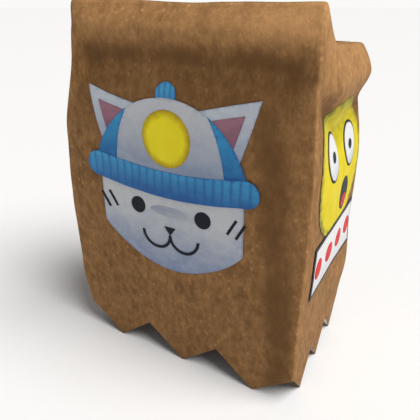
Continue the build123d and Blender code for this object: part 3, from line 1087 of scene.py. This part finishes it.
# %% Glue on the side
side_cards = {
    "side_face_front": (FACE_YELLOW, "right_gusset_front", "yellow_card"),
    "side_face_rear": (FACE_YELLOW, "right_gusset_rear", "yellow_card"),
    "side_mouth": (INK, "right_gusset_rear", "black_card"),
    "side_tongue": (TONGUE_RED, "right_gusset_rear", "red_card"),
}
for place in ("front", "rear"):
    body = "right_gusset_" + place
    side_cards["side_eye_rim_" + place] = (INK, body, "black_card")
    side_cards["side_eye_white_" + place] = (EYE_WHITE, body, "white_card")
    side_cards["side_pupil_" + place] = (INK, body, "black_card")
    side_cards["banner_backing_" + place] = (INK, body, "black_card")
    side_cards["banner_card_" + place] = (BANNER_WHITE, body, "white_card")
for index in range(4):
    body = "right_gusset_" + ("front" if index < 2 else "rear")
    side_cards[f"banner_dot_{index + 1}"] = (BANNER_RED, body, "red_card")
for node, (material, body, slot) in side_cards.items():
    cut_out(node, material, body, side=True)


# %% The face's top, over the folded end
FACE_STRIP = 0.001


def face_top():
    """The round face above the waist, on the closed end."""
    bm = bmesh.new()
    bmesh.ops.create_circle(bm, cap_ends=True, segments=96, radius=1)
    for vertex in bm.verts:
        y = FACE_CENTRE.y + vertex.co.x * FACE_RADIUS.y
        z = FACE_CENTRE.z + vertex.co.y * FACE_RADIUS.z
        vertex.co = (HALF_WIDTH, y, z)
    cut_plane(bm, (0, 0, WAIST), (0, 0, -1), clear_outer=True)
    slice_on_lines(bm, FACE_LOW, FACE_HIGH, {1: TOP_LINES[1], 2: (WAIST, FACE_STRIP)})
    turn_outward(bm, (1, 0, 0))
    height = GLUE + face_front_high.x - HALF_WIDTH
    hollow = bm.verts.layers.float.new("hollow")
    for vertex in bm.verts:
        # Painted shade in the pinch and under the roll.
        vertex[hollow] = card_painted_shade(vertex.co)
        vertex.co = lifted(vertex.co, (0, 1, 0), (0, 0, 1), height)
    piece = thicken(make_piece("side_face_top_card", bm, FACE_YELLOW), height)
    ride_end(piece)
    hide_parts("side_face_top")
    return piece


print("face top:", face_top().name)
print("side cut-outs:", len(side_cards) + 1)


# %% [markdown]
# ## The folded end's flap and tucks
# On top, the glued flap lies over the end panel. Inside, the two tucks lie under it. Each is a copy
# of its construction solid, laid on the soft top and moved up or down to its own layer.

# %% Flap and tucks
FLAP_WORN = 0.55
FLAP_LIFT = 0.3 * GLUE
TUCK_DROP = 2.2 * PAPER
LAYER_SHARE = 0.45


def end_layer(node, below):
    """A sheet of the folded end, just above or just below the end's own paper."""
    bm = sliced_copy(node, TOP_LINES)
    wear_and_light = bm.verts.layers.float.new("wear_and_light")
    lift = -TUCK_DROP if below else FLAP_LIFT
    for vertex in bm.verts:
        vertex[wear_and_light] = 0.0 if below else FLAP_WORN
        x, y, z = vertex.co
        plain = top_height(y)
        height = (z - plain) * LAYER_SHARE
        vertex.co = soften((x, y, plain)) + Vector((0, 0, lift + height))
    piece = make_piece(node + "_sheet", bm, KRAFT_INSIDE if below else KRAFT, smooth=False)
    ride_end(piece)
    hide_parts(node)
    return piece


end_layers = [end_layer("end_flap", below=False)]
for node in ("left_end_tuck", "right_end_tuck"):
    end_layers.append(end_layer(node, below=True))
print("end layers:", [piece.name for piece in end_layers])

# %% [markdown]
# ## Floor, light and camera
# A pale floor, one soft sun from above on the right, and a weak sky for the shaded front. A sun is as
# bright everywhere, so the floor stays even out to where it ends. Past its edge the camera would see
# the weak sky as a grey wall, so Light Path gives the camera alone a white one.

# %% Floor
FLOOR_RADIUS = 60.0
FLOOR_WHITE = 0.955


def floor_piece():
    """A wide pale disc that only the picture sees; it isn't part of the object."""
    bm = bmesh.new()
    bmesh.ops.create_circle(bm, cap_ends=True, segments=96, radius=FLOOR_RADIUS)
    material, tree, shader = shader_material("pale_floor", 0.9)
    shader.inputs["Base Color"].default_value = (FLOOR_WHITE, FLOOR_WHITE, FLOOR_WHITE, 1)
    floor = make_piece("floor", bm, material)
    return floor


floor = floor_piece()
print("floor radius:", FLOOR_RADIUS, "m")


# %% Light
TOWARD_KEY = Vector((0.56, -0.02, 0.83))
KEY_STRENGTH = 3.15
KEY_SOFTNESS = 0.7
SKY_STRENGTH = 0.20


def soft_sun():
    """A very large soft light far away."""
    data = bpy.data.lights.new("key", "SUN")
    data.energy = KEY_STRENGTH
    data.angle = KEY_SOFTNESS
    data.color = (1.0, 0.985, 0.965)
    lamp = bpy.data.objects.new("key", data)
    bpy.context.scene.collection.objects.link(lamp)
    lamp.rotation_euler = TOWARD_KEY.to_track_quat("Z", "Y").to_euler()
    return lamp


def pale_sky():
    """A weak even light, and a white studio wall where the camera looks past the floor."""
    sky = bpy.data.worlds.new("sky")
    sky.use_nodes = True
    tree = sky.node_tree
    weak = tree.nodes["Background"]
    weak.inputs["Color"].default_value = (0.97, 0.98, 1.0, 1)
    weak.inputs["Strength"].default_value = SKY_STRENGTH
    white = tree.nodes.new("ShaderNodeBackground")
    white.inputs["Strength"].default_value = 1.0
    white.inputs["Color"].default_value = (0.96, 0.95, 0.935, 1)
    path = tree.nodes.new("ShaderNodeLightPath")
    choose = tree.nodes.new("ShaderNodeMixShader")
    tree.links.new(path.outputs["Is Camera Ray"], choose.inputs["Fac"])
    tree.links.new(weak.outputs["Background"], choose.inputs[1])
    tree.links.new(white.outputs["Background"], choose.inputs[2])
    tree.links.new(choose.outputs["Shader"], tree.nodes["World Output"].inputs["Surface"])
    return sky


key = soft_sun()
bpy.context.scene.world = pale_sky()
bpy.context.scene.view_settings.view_transform = "Standard"
print("key light strength:", key.data.energy)

# %% Camera
CAMERA_PLACE = Vector((0.1427, -0.2656, 0.2523))
CAMERA_LOOK = Vector((-0.4424, 0.7848, -0.4340))
CAMERA_LENS = 36.4

camera_data = bpy.data.cameras.new("camera")
camera_data.lens = CAMERA_LENS
camera_data.sensor_width = 36.0
camera_data.clip_start = 0.01
camera = bpy.data.objects.new("camera", camera_data)
bpy.context.scene.collection.objects.link(camera)
camera.location = CAMERA_PLACE
camera.rotation_mode = "QUATERNION"
camera.rotation_quaternion = CAMERA_LOOK.to_track_quat("-Z", "Y")
bpy.context.scene.camera = camera
print("camera is", round(CAMERA_PLACE.length, 3), "m from the bag's foot")
